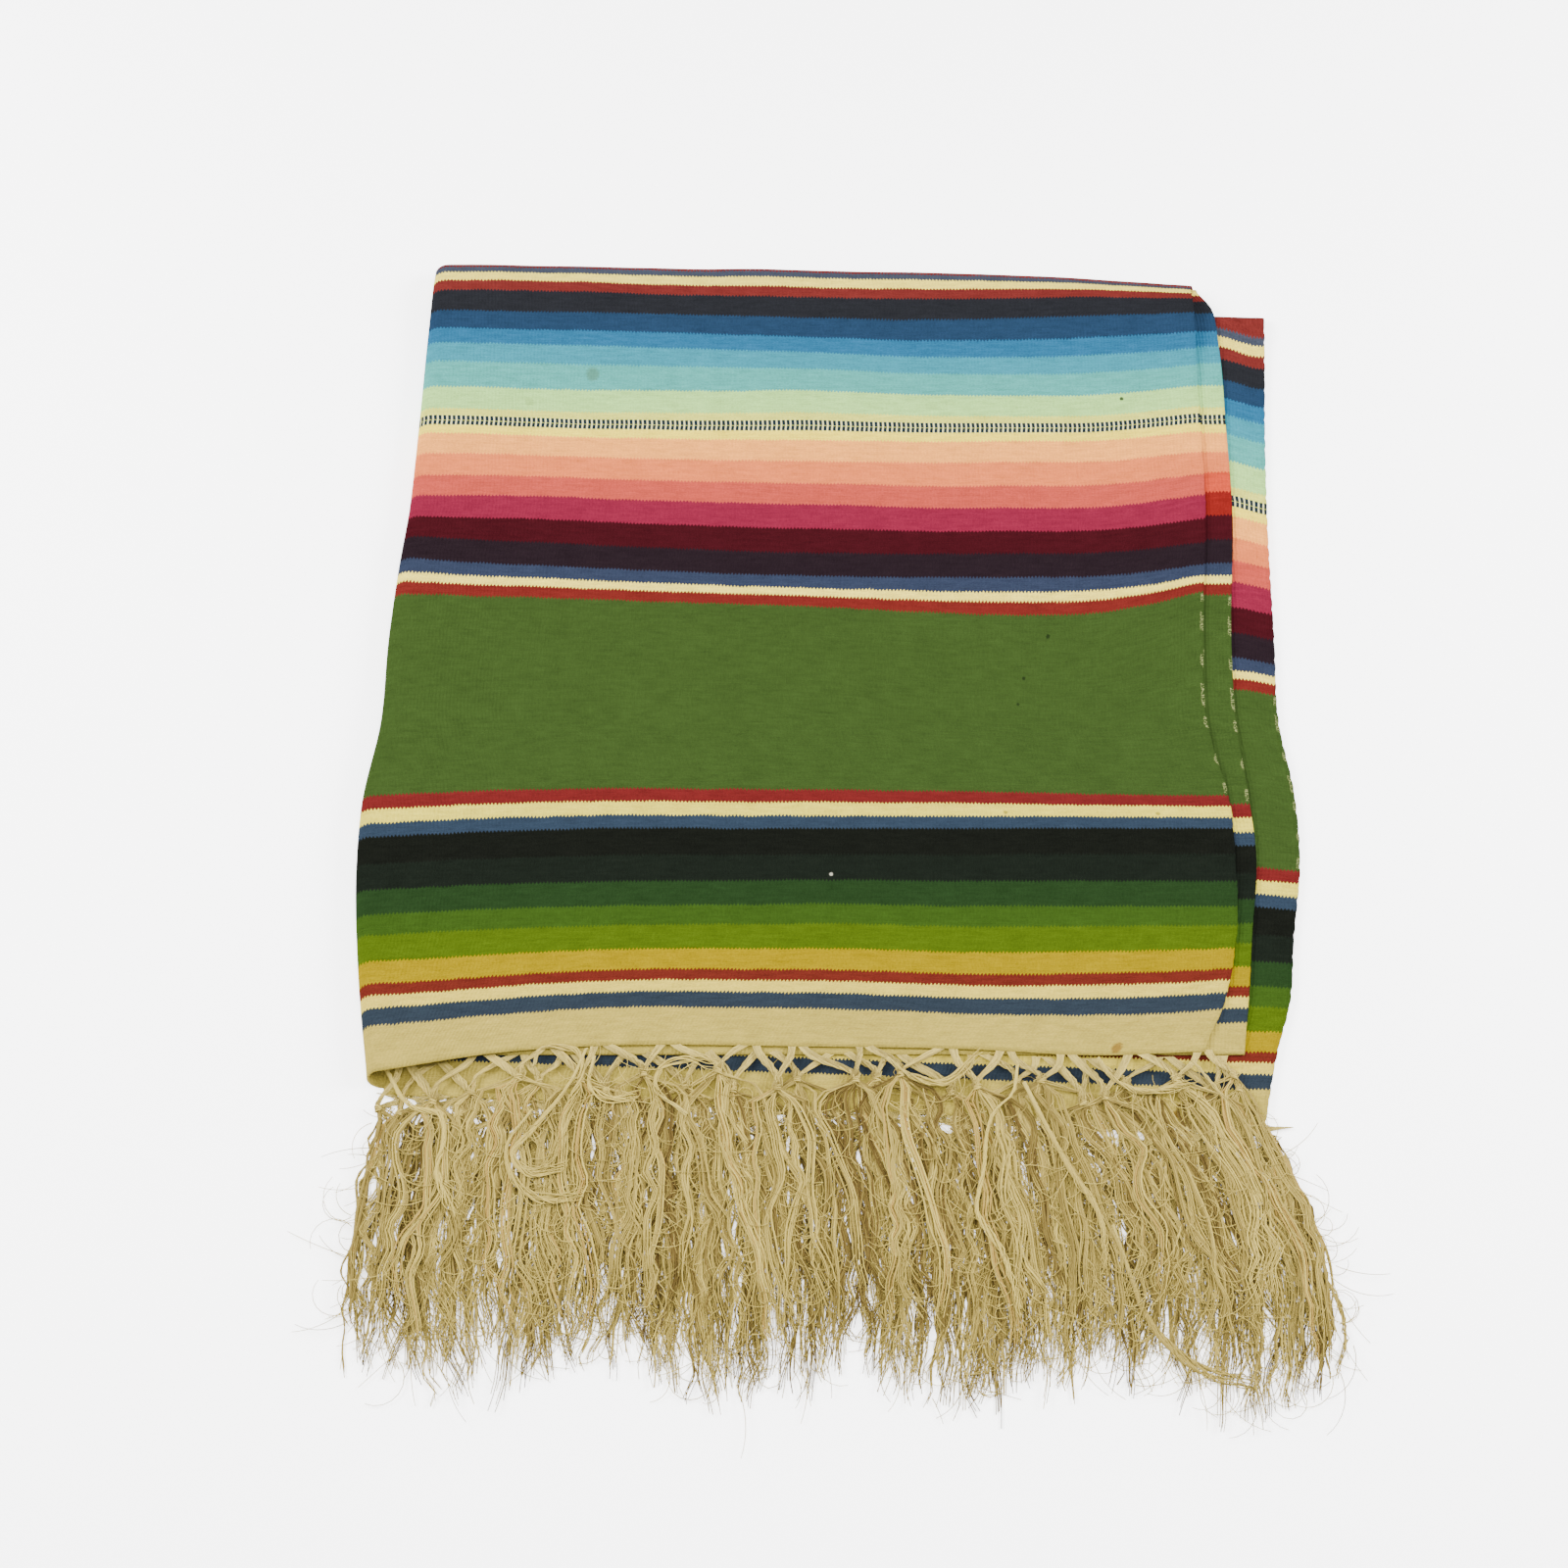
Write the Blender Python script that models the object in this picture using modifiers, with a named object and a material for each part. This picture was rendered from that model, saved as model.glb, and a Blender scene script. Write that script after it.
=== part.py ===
"""A striped serape folded in four, lying flat with its knotted fringe towards -Y.

One woven cloth is folded in half twice. The first fold brings its two fringed ends together
and lies at the far side (+Y). The second brings the left half over the right and lies at the
left (-X). Four quarters lie on each other: the first, on top, shows whole, and its neighbours
show past its right selvedge and hem. Each stretch that shows is a wall of cloth of its own,
and what lies hidden between them is one rounded solid, stepped where its layers end.
Units are metres, Z is up, and the floor is z = 0.
"""

import math
from collections import namedtuple

import bpy
import numpy as np

# Driving dimensions
CLOTH = 0.0022          # wall of one layer of the woven cloth
GAP = 0.0003            # clearance between neighbouring solids
SLACK = 0.0006          # clearance under the first quarter, whose curve it follows
SEAM = 0.0015           # clearance beside the showing strips, whose wavy sides it follows
LAYER = 0.0030          # rise from one layer's middle to the next where they lie flat
TUCK = 0.012            # how far a showing stretch runs in under the layer above it
ROLL_HEIGHT = 0.0250    # top of the left fold, where the first quarter rolls over to the floor
ROLL_REACH = 0.0130     # half width of that roll
ROLL_FOOT = 0.0060      # how far the roll's cloth runs in along the floor
ROLL_SPREAD = 0.085     # distance over which the first quarter sinks from the roll to the stack
UPPER_TURN = 0.0045     # radius of the far fold of the first and second quarters
LOWER_TURN = 0.0036     # radius of the far fold of the third and fourth quarters
FOLD_FLAP = 0.010       # how far the cloth of a far fold runs back beneath itself
FOLD_SPREAD = 0.045     # distance over which the layers settle behind the far folds
FOLD_DROOP = 0.0070     # how far the upper far fold hangs past the lower one
DROOP_SPREAD = 0.014
LEDGE = 0.006           # how far a layer shows past the hem or selvedge of the one above
FRINGE_DEPTH = 0.0050   # thickness of one fringe, pressed flat
SPREAD_COLUMNS = 20     # mesh columns across a quarter
SPREAD_ROWS = 16        # mesh rows from the settled layers to the hem
TURN_STEPS = 6          # mesh steps round a fold

# Sections of the folded stack from the far side to the near side. y is where the section
# crosses the middle of the first quarter. The left fold, the three right selvedges and the
# lead of the section's two ends over its middle belong to it.
Section = namedtuple("Section", "y left first second third left_lead right_lead")
SECTIONS = [
    Section(0.558, -0.380, 0.355, 0.371, 0.428, 0.003, -0.018),
    Section(0.450, -0.385, 0.357, 0.381, 0.423, 0.012, 0.002),
    Section(0.290, -0.391, 0.356, 0.381, 0.414, 0.014, 0.008),
    Section(0.150, -0.403, 0.346, 0.371, 0.411, 0.012, 0.012),
    Section(0.074, -0.405, 0.343, 0.370, 0.409, 0.006, 0.006),
    Section(0.000, -0.417, 0.358, 0.376, 0.418, -0.006, -0.002),
    Section(-0.064, -0.418, 0.360, 0.379, 0.418, -0.009, -0.002),
    Section(-0.140, -0.412, 0.356, 0.370, 0.407, -0.010, -0.002),
    Section(-0.200, -0.404, 0.342, 0.363, 0.399, -0.012, -0.002),
    Section(-0.242, -0.397, 0.322, 0.357, 0.386, -0.020, -0.003),
    Section(-0.330, -0.392, 0.312, 0.350, 0.366, -0.020, -0.003),
]
UPPER_FOLD, UPPER_HEM = SECTIONS[0].y, SECTIONS[-2].y

# Rows near the far fold lie closer, as distances from where its turn starts.
FOLD_ROWS = [0.0, FOLD_FLAP, 0.020, 0.032, 0.047, 0.065, 0.085, 0.110]

# The lower pair of quarters is turned a little clockwise under the upper pair.
Line = namedtuple("Line", "left right")
LOWER_FOLD = Line(0.545, 0.511)
LOWER_HEM = Line(-0.285, -0.318)

# The fringes, from hem to ends: reach is the share of the way, left and right its sides.
Spread = namedtuple("Spread", "reach left right")
UPPER_SPREAD = [
    Spread(0.00, -0.370, 0.342),
    Spread(0.15, -0.378, 0.354),
    Spread(0.40, -0.401, 0.380),
    Spread(0.75, -0.413, 0.408),
    Spread(1.00, -0.404, 0.404),
]
LOWER_SPREAD = [
    Spread(0.00, -0.385, 0.365),
    Spread(0.25, -0.402, 0.396),
    Spread(0.60, -0.4255, 0.4255),
    Spread(0.85, -0.4318, 0.4304),
    Spread(1.00, -0.418, 0.410),
]
# Where the fringes end, along the width: waves about a straight line.
Ends = namedtuple("Ends", "left right wave waves phase")
UPPER_ENDS = Ends(-0.482, -0.502, 0.006, 3.0, 0.4)
LOWER_ENDS = Ends(-0.5226, -0.5664, 0.008, 3.5, 1.1)

COLOURS = {
    "woven": (0.085, 0.145, 0.030, 1.0),
    "fringe": (0.56, 0.45, 0.24, 1.0),
}


def clear_scene():
    for old in list(bpy.data.objects):
        bpy.data.objects.remove(old, do_unlink=True)


def material(name):
    made = bpy.data.materials.new(name)
    made.use_nodes = True
    shader = made.node_tree.nodes["Principled BSDF"]
    shader.inputs["Base Color"].default_value = COLOURS[name]
    shader.inputs["Roughness"].default_value = 0.9
    shader.inputs["Metallic"].default_value = 0.0
    return made


def through(rows, key, column, at):
    """Reads a table's column at any place, on a smooth curve through its rows."""
    places = np.array([getattr(row, key) for row in rows])
    values = np.array([getattr(row, column) for row in rows])
    if places[0] > places[-1]:
        places, values = places[::-1], values[::-1]
    slopes = np.gradient(values, places)
    at = np.clip(at, places[0], places[-1])
    after = np.clip(np.searchsorted(places, at), 1, len(places) - 1)
    width = places[after] - places[after - 1]
    t = (at - places[after - 1]) / width
    start, end = values[after - 1], values[after]
    bend_in, bend_out = slopes[after - 1] * width, slopes[after] * width
    return ((2 * t**3 - 3 * t**2 + 1) * start + (t**3 - 2 * t**2 + t) * bend_in
            + (3 * t**2 - 2 * t**3) * end + (t**3 - t**2) * bend_out)


def stack(column, y):
    return through(SECTIONS, "y", column, y)


def along(line, x):
    """A straight line's y, between the left fold and the right selvedge."""
    share = (x - SECTIONS[5].left) / (SECTIONS[5].third - SECTIONS[5].left)
    return line.left + (line.right - line.left) * share


def section_y(middle_y, share):
    """A section's y at a share of its width: both of its ends bend away from its middle."""
    to_left = np.maximum(0.0, 1.0 - 2.0 * share) ** 2
    to_right = np.maximum(0.0, 2.0 * share - 1.0) ** 2
    return middle_y + stack("left_lead", middle_y) * to_left + stack("right_lead", middle_y) * to_right


def roll_top(y):
    """Where the first quarter starts to turn down into the left roll."""
    return stack("left", y) + CLOTH / 2 + ROLL_REACH


def hem_y(x):
    """The first quarter's hem at any place across."""
    left = roll_top(UPPER_HEM)
    share = (x - left) / (stack("first", UPPER_HEM) - left)
    return section_y(UPPER_HEM, np.clip(share, 0.0, 1.0))


def settle(x, y):
    """1 above the lower far fold, easing to 0 behind it."""
    return np.exp(-(np.maximum(0.0, along(LOWER_FOLD, x) - y) / FOLD_SPREAD) ** 2)


def droop(share, y):
    """How far the upper pair hangs down at its far fold."""
    edge = section_y(UPPER_FOLD, share)
    return FOLD_DROOP * np.exp(-(np.maximum(0.0, edge - y) / DROOP_SPREAD) ** 2)


def third_height(x, y):
    """Middle of the third quarter's wall."""
    return CLOTH / 2 + LAYER + (2 * LOWER_TURN - LAYER) * settle(x, y)


def first_height(x, y, share):
    """Middle of the first quarter's wall: it swells to the left roll and to the far fold."""
    flat = CLOTH / 2 + 3 * LAYER
    over_folds = 2 * LOWER_TURN + CLOTH + 2 * UPPER_TURN + CLOTH + 2 * GAP - 3 * LAYER
    to_roll = np.exp(-(np.maximum(0.0, x - roll_top(y)) / ROLL_SPREAD) ** 2)
    rise_left = (ROLL_HEIGHT - CLOTH / 2 - flat) * to_roll
    rise_far = over_folds * settle(x, y) - droop(share, y)
    return flat + np.maximum(rise_left, 0.0) + rise_far * (1.0 - 0.45 * to_roll)


def grid_object(name, points, fill, wall=None):
    """An open sheet through a grid of points, given its wall by Solidify."""
    rows, columns = points.shape[:2]
    corner = np.arange(rows * columns).reshape(rows, columns)
    quads = np.stack([corner[:-1, :-1], corner[:-1, 1:], corner[1:, 1:], corner[1:, :-1]], axis=-1)
    mesh = bpy.data.meshes.new(name)
    mesh.from_pydata(points.reshape(-1, 3).tolist(), [], quads.reshape(-1, 4).tolist())
    return finish_object(name, mesh, fill, wall)


def finish_object(name, mesh, fill, wall=None):
    mesh.shade_smooth()
    mesh.materials.append(fill)
    made = bpy.data.objects.new(name, mesh)
    bpy.data.collections["serape"].objects.link(made)
    if wall:
        shell = made.modifiers.new("wall", "SOLIDIFY")
        shell.thickness = wall
        shell.offset = 0.0
    return made


def stacked_object(name, levels, fill):
    """A closed solid: the first and last grids are its faces, and the rims between them its sides."""
    rows, columns = levels[0].shape[:2]
    size = rows * columns
    corner = np.arange(size).reshape(rows, columns)
    rim = np.concatenate([corner[0, :-1], corner[:-1, -1], corner[-1, :0:-1], corner[:0:-1, 0]])
    points = [levels[0].reshape(-1, 3), levels[-1].reshape(-1, 3)]
    points += [level.reshape(-1, 3)[rim] for level in levels[1:-1]]
    quads = np.stack([corner[:-1, :-1], corner[:-1, 1:], corner[1:, 1:], corner[1:, :-1]], axis=-1)
    quads = quads.reshape(-1, 4)
    faces = quads.tolist() + (quads[:, ::-1] + size).tolist()
    loops = [rim]
    loops += [2 * size + len(rim) * k + np.arange(len(rim)) for k in range(len(levels) - 2)]
    loops.append(rim + size)
    for low, high in zip(loops, loops[1:]):
        sides = np.stack([low, high, np.roll(high, -1), np.roll(low, -1)], axis=-1)
        faces += sides.tolist()
    mesh = bpy.data.meshes.new(name)
    mesh.from_pydata(np.concatenate(points).tolist(), [], faces)
    return finish_object(name, mesh, fill)


def quarter_rows():
    """Rows of an upper quarter, by where they cross the middle, from the far fold to the hem."""
    start = UPPER_FOLD - UPPER_TURN
    near_fold = start - np.array(FOLD_ROWS)
    return np.concatenate([near_fold, np.linspace(near_fold[-1], UPPER_HEM, SPREAD_ROWS + 1)[1:]])


def first_surface(middle_y, step):
    """A point of the first quarter. step runs 0 to 1 from selvedge to roll, then 1 to 2 round it."""
    share = np.clip(1.0 - step, 0.0, 1.0)
    angle = np.clip(step - 1.0, 0.0, 1.0) * math.pi
    edge_left = roll_top(middle_y)
    x = edge_left + (stack("first", middle_y) - edge_left) * share
    y = section_y(middle_y, share)
    z = first_height(x, y, share)
    foot_y = y + (along(LOWER_HEM, x) - section_y(UPPER_HEM, 0.0)) * (
        (UPPER_FOLD - middle_y) / (UPPER_FOLD - UPPER_HEM)) ** 2
    turned = (1.0 - np.cos(angle)) / 2.0
    x = x - ROLL_REACH * np.sin(angle)
    z = z + (CLOTH / 2 - z) * turned
    y = y + (foot_y - y) * turned
    foot = np.maximum(0.0, step - 2.0)
    return np.stack([x + foot, y, z + 0.0 * foot], axis=-1)


def make_first_quarter(fill):
    """The quarter on top, with the left fold down to the floor and the far fold beneath itself."""
    across = np.concatenate([
        np.linspace(0.0, 1.0, SPREAD_COLUMNS + 1),
        1.0 + np.arange(1, TURN_STEPS + 1) / TURN_STEPS,
        [2.0 + ROLL_FOOT],
    ])
    spread = first_surface(quarter_rows()[:, None], across[None, :])
    # The way into the roll, across each column: down on the flat, sideways and up on the roll.
    angle = np.clip(across - 1.0, 0.0, 1.0) * math.pi
    inward = np.stack([np.sin(angle), 0.0 * angle, -np.cos(angle)], axis=-1)
    # The second quarter's selvedge lies further out, so the fold's right end slants to it.
    slant = np.zeros_like(spread[0])
    slant[:, 0] = (SECTIONS[0].second - SECTIONS[0].first) * np.maximum(0.0, 1.0 - across * 4.0)
    turn = []
    for step in range(TURN_STEPS, 0, -1):
        around = math.pi * step / TURN_STEPS
        point = spread[0] + inward * UPPER_TURN * (1.0 - math.cos(around)) + slant * step / TURN_STEPS
        point[:, 1] += UPPER_TURN * math.sin(around)
        turn.append(point)
    flap = spread[1] + inward * 2 * UPPER_TURN + slant
    points = np.concatenate([[flap], turn, spread])
    return grid_object("first_quarter", points, fill, CLOTH)


def inner_x(y):
    """Where the showing strips of the second and third quarters start, under the first."""
    return stack("first", y) - TUCK


def make_second_edge(fill):
    """The strip of the second quarter that shows past the first one's selvedge."""
    far = UPPER_FOLD + SECTIONS[0].right_lead - UPPER_TURN - FOLD_FLAP - GAP - CLOTH / 2
    y = np.linspace(far, UPPER_HEM - LEDGE, 2 * SPREAD_ROWS)[:, None]
    share = np.linspace(0.0, 1.0, 4)[None, :]
    x = inner_x(y) + (stack("second", y) - inner_x(y)) * share
    y = y + 0.0 * x
    clear = 2 * LOWER_TURN + CLOTH + SEAM - 2 * LAYER
    z = CLOTH / 2 + 2 * LAYER + clear * settle(x, y) - droop(1.0, y)
    return grid_object("second_edge", np.stack([x, y, z], axis=-1), fill, CLOTH)


def make_third_edge(fill):
    """The strip of the third quarter that shows past the second one's selvedge."""
    down = np.linspace(0.0, 1.0, 2 * SPREAD_ROWS)[:, None]
    across = np.linspace(0.0, 1.0, 5)[None, :]
    far = along(LOWER_FOLD, SECTIONS[0].third) - LOWER_TURN - FOLD_FLAP - GAP - CLOTH / 2
    near = along(LOWER_HEM, inner_x(LOWER_HEM.right)) + CLOTH / 2
    y = far + (near - far) * down
    x = inner_x(y) + (stack("third", y) - inner_x(y)) * across
    y = y + 0.0 * x
    return grid_object("third_edge", np.stack([x, y, third_height(x, y)], axis=-1), fill, CLOTH)


def make_third_hem(fill):
    """The border of the third quarter that shows under the upper fringe."""
    across = np.linspace(0.0, 1.0, SPREAD_COLUMNS + 1)[None, :]
    left = SECTIONS[-1].left + ROLL_REACH + CLOTH
    right = inner_x(along(LOWER_HEM, SECTIONS[-1].first)) - GAP - CLOTH / 2
    x = left + (right - left) * across
    far = hem_y(x) + TUCK
    near = along(LOWER_HEM, x)
    y = far + (near - far) * np.linspace(0.0, 1.0, 5)[:, None]
    x = x + 0.0 * y
    z = CLOTH / 2 + LAYER + 0.0 * y
    return grid_object("third_hem", np.stack([x, y, z], axis=-1), fill, CLOTH)


def make_lower_fold(fill):
    """The far fold between the third and fourth quarters, under and behind the upper one."""
    left = SECTIONS[0].left + 2 * ROLL_REACH
    x = np.linspace(left, SECTIONS[0].third, SPREAD_COLUMNS + 1)[None, :]
    start = along(LOWER_FOLD, x) - LOWER_TURN
    around = np.linspace(0.0, math.pi, TURN_STEPS + 1)[:, None]
    turn_y = start + LOWER_TURN * np.sin(around)
    turn_z = CLOTH / 2 + LOWER_TURN * (1.0 + np.cos(around)) + 0.0 * x
    y = np.concatenate([start - FOLD_FLAP, turn_y, start - FOLD_FLAP])
    z = np.concatenate([third_height(x, start - FOLD_FLAP), turn_z, CLOTH / 2 + 0.0 * x])
    points = np.stack([x + 0.0 * y, y, z], axis=-1)
    return grid_object("lower_fold", points[:, ::-1], fill, CLOTH)


# The hidden layers' rims from the floor up. level is the share of the way up from the third
# quarter's top to the first one's underside. left is measured in from the left fold. The
# rim ends at the hem and selvedge of the layer named.
Rim = namedtuple("Rim", "level left layer")
RIMS = [
    Rim(None, 0.0250, "fourth"),
    Rim(None, 0.0250, "fourth"),
    Rim(None, 0.0250, "third"),
    Rim(0.00, 0.0130, "third"),
    Rim(0.00, 0.0130, "second"),
    Rim(0.40, 0.0056, "second"),
    Rim(0.80, 0.0080, "second"),
    Rim(1.00, 0.0145, "second"),
]


def rim_grid(rim, across, down):
    """A rim's plan: x and y, column by column under the first quarter's own columns."""
    middle_y = down if rim.layer == "second" else np.linspace(LOWER_FOLD.right, UPPER_HEM, len(down))
    middle_y = middle_y[:, None]
    roll_x = roll_top(middle_y)
    x = roll_x + (stack("first", middle_y) - roll_x) * across[None, :]
    y = section_y(middle_y, across[None, :])
    x[:, -1] = stack("third", middle_y[:, 0]) if rim.layer == "fourth" else x[:, -1]
    if rim.layer != "second":
        far = along(LOWER_FOLD, x) - LOWER_TURN - FOLD_FLAP - 2 * GAP
        near = y[-1] + TUCK + CLOTH + GAP if rim.layer == "third" else along(LOWER_HEM, x[-1])
        y = far + (near - far) * np.linspace(0.0, 1.0, len(down))[:, None]
    right_y = y[:, -1]
    x[:, -1] = stack("third", right_y) - LEDGE if rim.layer == "fourth" else inner_x(right_y) - SEAM
    x = np.maximum(x, stack("left", y) + rim.left)
    x[:, 0] = stack("left", y[:, 0]) + rim.left
    return x, y


def make_hidden_layers(fill):
    """The hidden stretches of the second, third and fourth quarters, as one rounded solid."""
    across = np.linspace(0.0, 1.0, SPREAD_COLUMNS + 1)
    down = quarter_rows()[2:]
    down[-1] -= LEDGE
    levels = []
    for number, rim in enumerate(RIMS):
        x, y = rim_grid(rim, across, down)
        if rim.level is None:
            z = CLOTH * min(number, 1) + 0.0 * x
        else:
            top = first_height(x, y, across[None, :]) - CLOTH / 2 - SLACK
            third_top = third_height(x, y) + CLOTH / 2 + SEAM
            z = third_top + (top - third_top) * rim.level
        levels.append(np.stack([x, y, z], axis=-1))
    return stacked_object("hidden_layers", levels, fill)


def make_fringe(name, spread, ends, hem, low, high, fill):
    """A fringe's reach as one flat solid, from a hem to its uneven ends."""
    down = np.linspace(0.0, 1.0, 9)[:, None]
    across = np.linspace(0.0, 1.0, SPREAD_COLUMNS + 1)[None, :]
    left = through(spread, "reach", "left", down)
    right = through(spread, "reach", "right", down)
    x = left + (right - left) * across
    start = hem(x)
    end = ends.left + (ends.right - ends.left) * across
    end = end + ends.wave * np.sin(2.0 * math.pi * ends.waves * across + ends.phase)
    end = end + 0.035 * np.abs(2.0 * across - 1.0) ** 6
    y = start + (end - start) * down
    levels = []
    for inset, height in ((0.0010, 0.0), (0.0, 0.3), (0.0, 0.7), (0.0020, 1.0)):
        z = low(x, y) + (high(x, y) - low(x, y)) * height
        levels.append(np.stack([x + inset * (1.0 - 2.0 * across), y, z], axis=-1))
    return stacked_object(name, levels, fill)


def make_upper_fringe(fill):
    def hem(x):
        return hem_y(x) - LEDGE - SEAM

    def low(x, y):
        return FRINGE_DEPTH + 2 * GAP + 0.0 * y

    def high(x, y):
        at_hem = first_height(x, UPPER_HEM, 0.5) + CLOTH / 2
        resting = 2 * FRINGE_DEPTH + 2 * GAP
        fall = np.clip((hem(x) - y) / 0.08, 0.0, 1.0)
        return at_hem + (resting - at_hem) * (3 * fall**2 - 2 * fall**3)

    return make_fringe("upper_fringe", UPPER_SPREAD, UPPER_ENDS, hem, low, high, fill)


def make_lower_fringe(fill):
    def hem(x):
        return along(LOWER_HEM, x) - CLOTH / 2 - GAP

    def low(x, y):
        return 0.0 * y

    def high(x, y):
        return FRINGE_DEPTH + 0.0 * y

    return make_fringe("lower_fringe", LOWER_SPREAD, LOWER_ENDS, hem, low, high, fill)


def build():
    clear_scene()
    serape = bpy.data.collections.new("serape")
    bpy.context.scene.collection.children.link(serape)
    woven, yarn = material("woven"), material("fringe")
    make_first_quarter(woven)
    make_second_edge(woven)
    make_third_edge(woven)
    make_third_hem(woven)
    make_lower_fold(woven)
    make_hidden_layers(woven)
    make_upper_fringe(yarn)
    make_lower_fringe(yarn)


build()
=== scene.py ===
"""A striped serape folded in four and laid flat, with its knotted fringe to the front.

One woven cloth is folded in half twice, so four quarters lie on each other. The first shows
whole. The others show along its right selvedge and under its fringe.
Units are metres, Z is up, the floor is z = 0 and the fringe points to -Y.
"""

import math
from collections import namedtuple

import bpy
import numpy as np
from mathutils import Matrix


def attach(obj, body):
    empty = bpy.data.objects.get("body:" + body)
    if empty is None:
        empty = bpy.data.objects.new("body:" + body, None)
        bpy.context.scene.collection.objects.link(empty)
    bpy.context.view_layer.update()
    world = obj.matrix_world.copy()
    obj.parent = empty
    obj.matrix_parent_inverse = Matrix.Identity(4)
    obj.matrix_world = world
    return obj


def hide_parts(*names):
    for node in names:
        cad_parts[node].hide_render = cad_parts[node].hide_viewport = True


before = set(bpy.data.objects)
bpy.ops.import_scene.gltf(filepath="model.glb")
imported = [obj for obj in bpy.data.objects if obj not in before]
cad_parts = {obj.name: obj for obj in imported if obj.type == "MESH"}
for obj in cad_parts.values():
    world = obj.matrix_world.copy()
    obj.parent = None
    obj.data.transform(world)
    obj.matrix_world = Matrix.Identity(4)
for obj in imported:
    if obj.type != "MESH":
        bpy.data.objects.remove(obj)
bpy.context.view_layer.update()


# ---------------------------------------------------------------------------------------
# First quarter. The quarter on top: weft-faced wool on a cotton warp, in bands of colour.
# It rolls over at the left fold down to the floor, and turns under itself at the far fold.
# ---------------------------------------------------------------------------------------
CLOTH = 0.0022          # wall of one layer
LAYER = 0.0030          # rise from one layer to the next
LEAN = 0.466            # how far a raised course seems to lie back, per unit of its height
ROLL_HEIGHT = 0.0250    # top of the left roll
ROLL_REACH = 0.0130     # half width of the roll
ROLL_SPREAD = 0.085     # distance over which the cloth sinks from the roll
ROLL_FOOT = 0.006       # cloth that runs in along the floor
UPPER_TURN = 0.0045     # radius of the far fold of the upper pair
LOWER_TURN = 0.0036     # radius of the far fold of the lower pair
FOLD_FLAP = 0.010
FOLD_SPREAD = 0.045
FOLD_DROOP = 0.0070
DROOP_SPREAD = 0.014
UPPER_FOLD = 0.558
UPPER_HEM = -0.242
FAR_EDGE = 0.5637       # where the far fold is seen, from which the bands are measured
COLUMNS = 150           # mesh columns across the quarter
ROWS = 186              # mesh rows down it
TURN_STEPS = 10

# The stack's outline: the left fold and the three right selvedges at each section.
Section = namedtuple("Section", "y left first second third")
SECTIONS = [
    Section(-0.330, -0.392, 0.312, 0.350, 0.366),
    Section(-0.242, -0.397, 0.322, 0.357, 0.386),
    Section(-0.200, -0.404, 0.342, 0.363, 0.399),
    Section(-0.140, -0.412, 0.356, 0.370, 0.407),
    Section(-0.064, -0.418, 0.360, 0.379, 0.418),
    Section(0.000, -0.417, 0.358, 0.376, 0.418),
    Section(0.074, -0.405, 0.343, 0.370, 0.409),
    Section(0.150, -0.403, 0.346, 0.371, 0.411),
    Section(0.290, -0.391, 0.356, 0.381, 0.414),
    Section(0.390, -0.387, 0.357, 0.381, 0.419),
    Section(0.450, -0.385, 0.357, 0.381, 0.423),
    Section(0.558, -0.380, 0.355, 0.371, 0.428),
]
# How far each course of weft lies beyond its middle at seven places across, in millimetres.
PLACES = (0.0, 0.13, 0.25, 0.50, 0.72, 0.86, 1.0)
Course = namedtuple("Course", "y left tenth quarter middle far_quarter inset right")
COURSES = [
    Course(-0.242, -20.0, -6.0, 0.0, 0.0, -3.0, -8.0, -5.0),
    Course(-0.207, -14.0, -6.0, 0.0, 0.0, -5.0, -6.0, -1.0),
    Course(-0.172, -12.0, -6.0, -1.0, 0.0, -4.0, -3.0, 1.0),
    Course(-0.110, -9.0, -4.0, -2.0, 0.0, -2.0, -2.0, -2.0),
    Course(-0.038, -8.0, -3.0, 0.0, 0.0, 0.0, 0.0, 0.0),
    Course(0.000, -6.0, -1.0, 1.0, 0.0, -2.0, -5.0, -6.0),
    Course(0.187, 13.0, 10.0, 7.0, 0.0, -8.0, -7.0, 16.0),
    Course(0.215, 18.0, 12.0, 8.0, 0.0, -2.0, -1.0, 13.0),
    Course(0.295, 9.0, 9.0, 6.0, 0.0, -4.0, -3.0, 11.0),
    Course(0.355, 7.0, 5.0, 3.0, 0.0, -1.0, 0.0, 10.0),
    Course(0.421, 3.0, 1.0, 0.0, 0.0, -5.0, -4.0, 6.0),
    Course(0.465, 10.0, 9.0, 7.0, 0.0, -5.0, -2.0, 5.0),
    Course(0.501, 8.0, 7.0, 6.0, 0.0, -1.0, 3.0, 6.0),
    Course(0.530, 8.0, 8.0, 5.0, 0.0, -2.0, -1.0, -5.0),
    Course(0.558, 5.0, 5.0, 4.0, 0.0, -5.0, -11.0, -20.0),
]
# Soft creases of the laid cloth, ridges above 0 and troughs below.
Crease = namedtuple("Crease", "x y to_x to_y width height")
CREASES = [
    Crease(-0.064, 0.070, -0.081, 0.009, 0.010, 0.0011),
    Crease(-0.081, 0.009, -0.127, -0.048, 0.010, 0.0012),
    Crease(-0.127, -0.048, -0.205, -0.160, 0.012, 0.0010),
    Crease(0.096, -0.115, 0.039, -0.160, 0.010, -0.0008),
    Crease(-0.063, -0.073, 0.040, -0.154, 0.011, 0.0008),
    Crease(-0.342, 0.040, -0.332, -0.200, 0.007, -0.0009),
    Crease(-0.330, 0.040, -0.320, -0.200, 0.009, 0.0007),
    Crease(0.290, 0.330, 0.330, 0.120, 0.020, -0.0007),
    Crease(-0.250, 0.300, -0.300, 0.060, 0.018, 0.0006),
]


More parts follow.
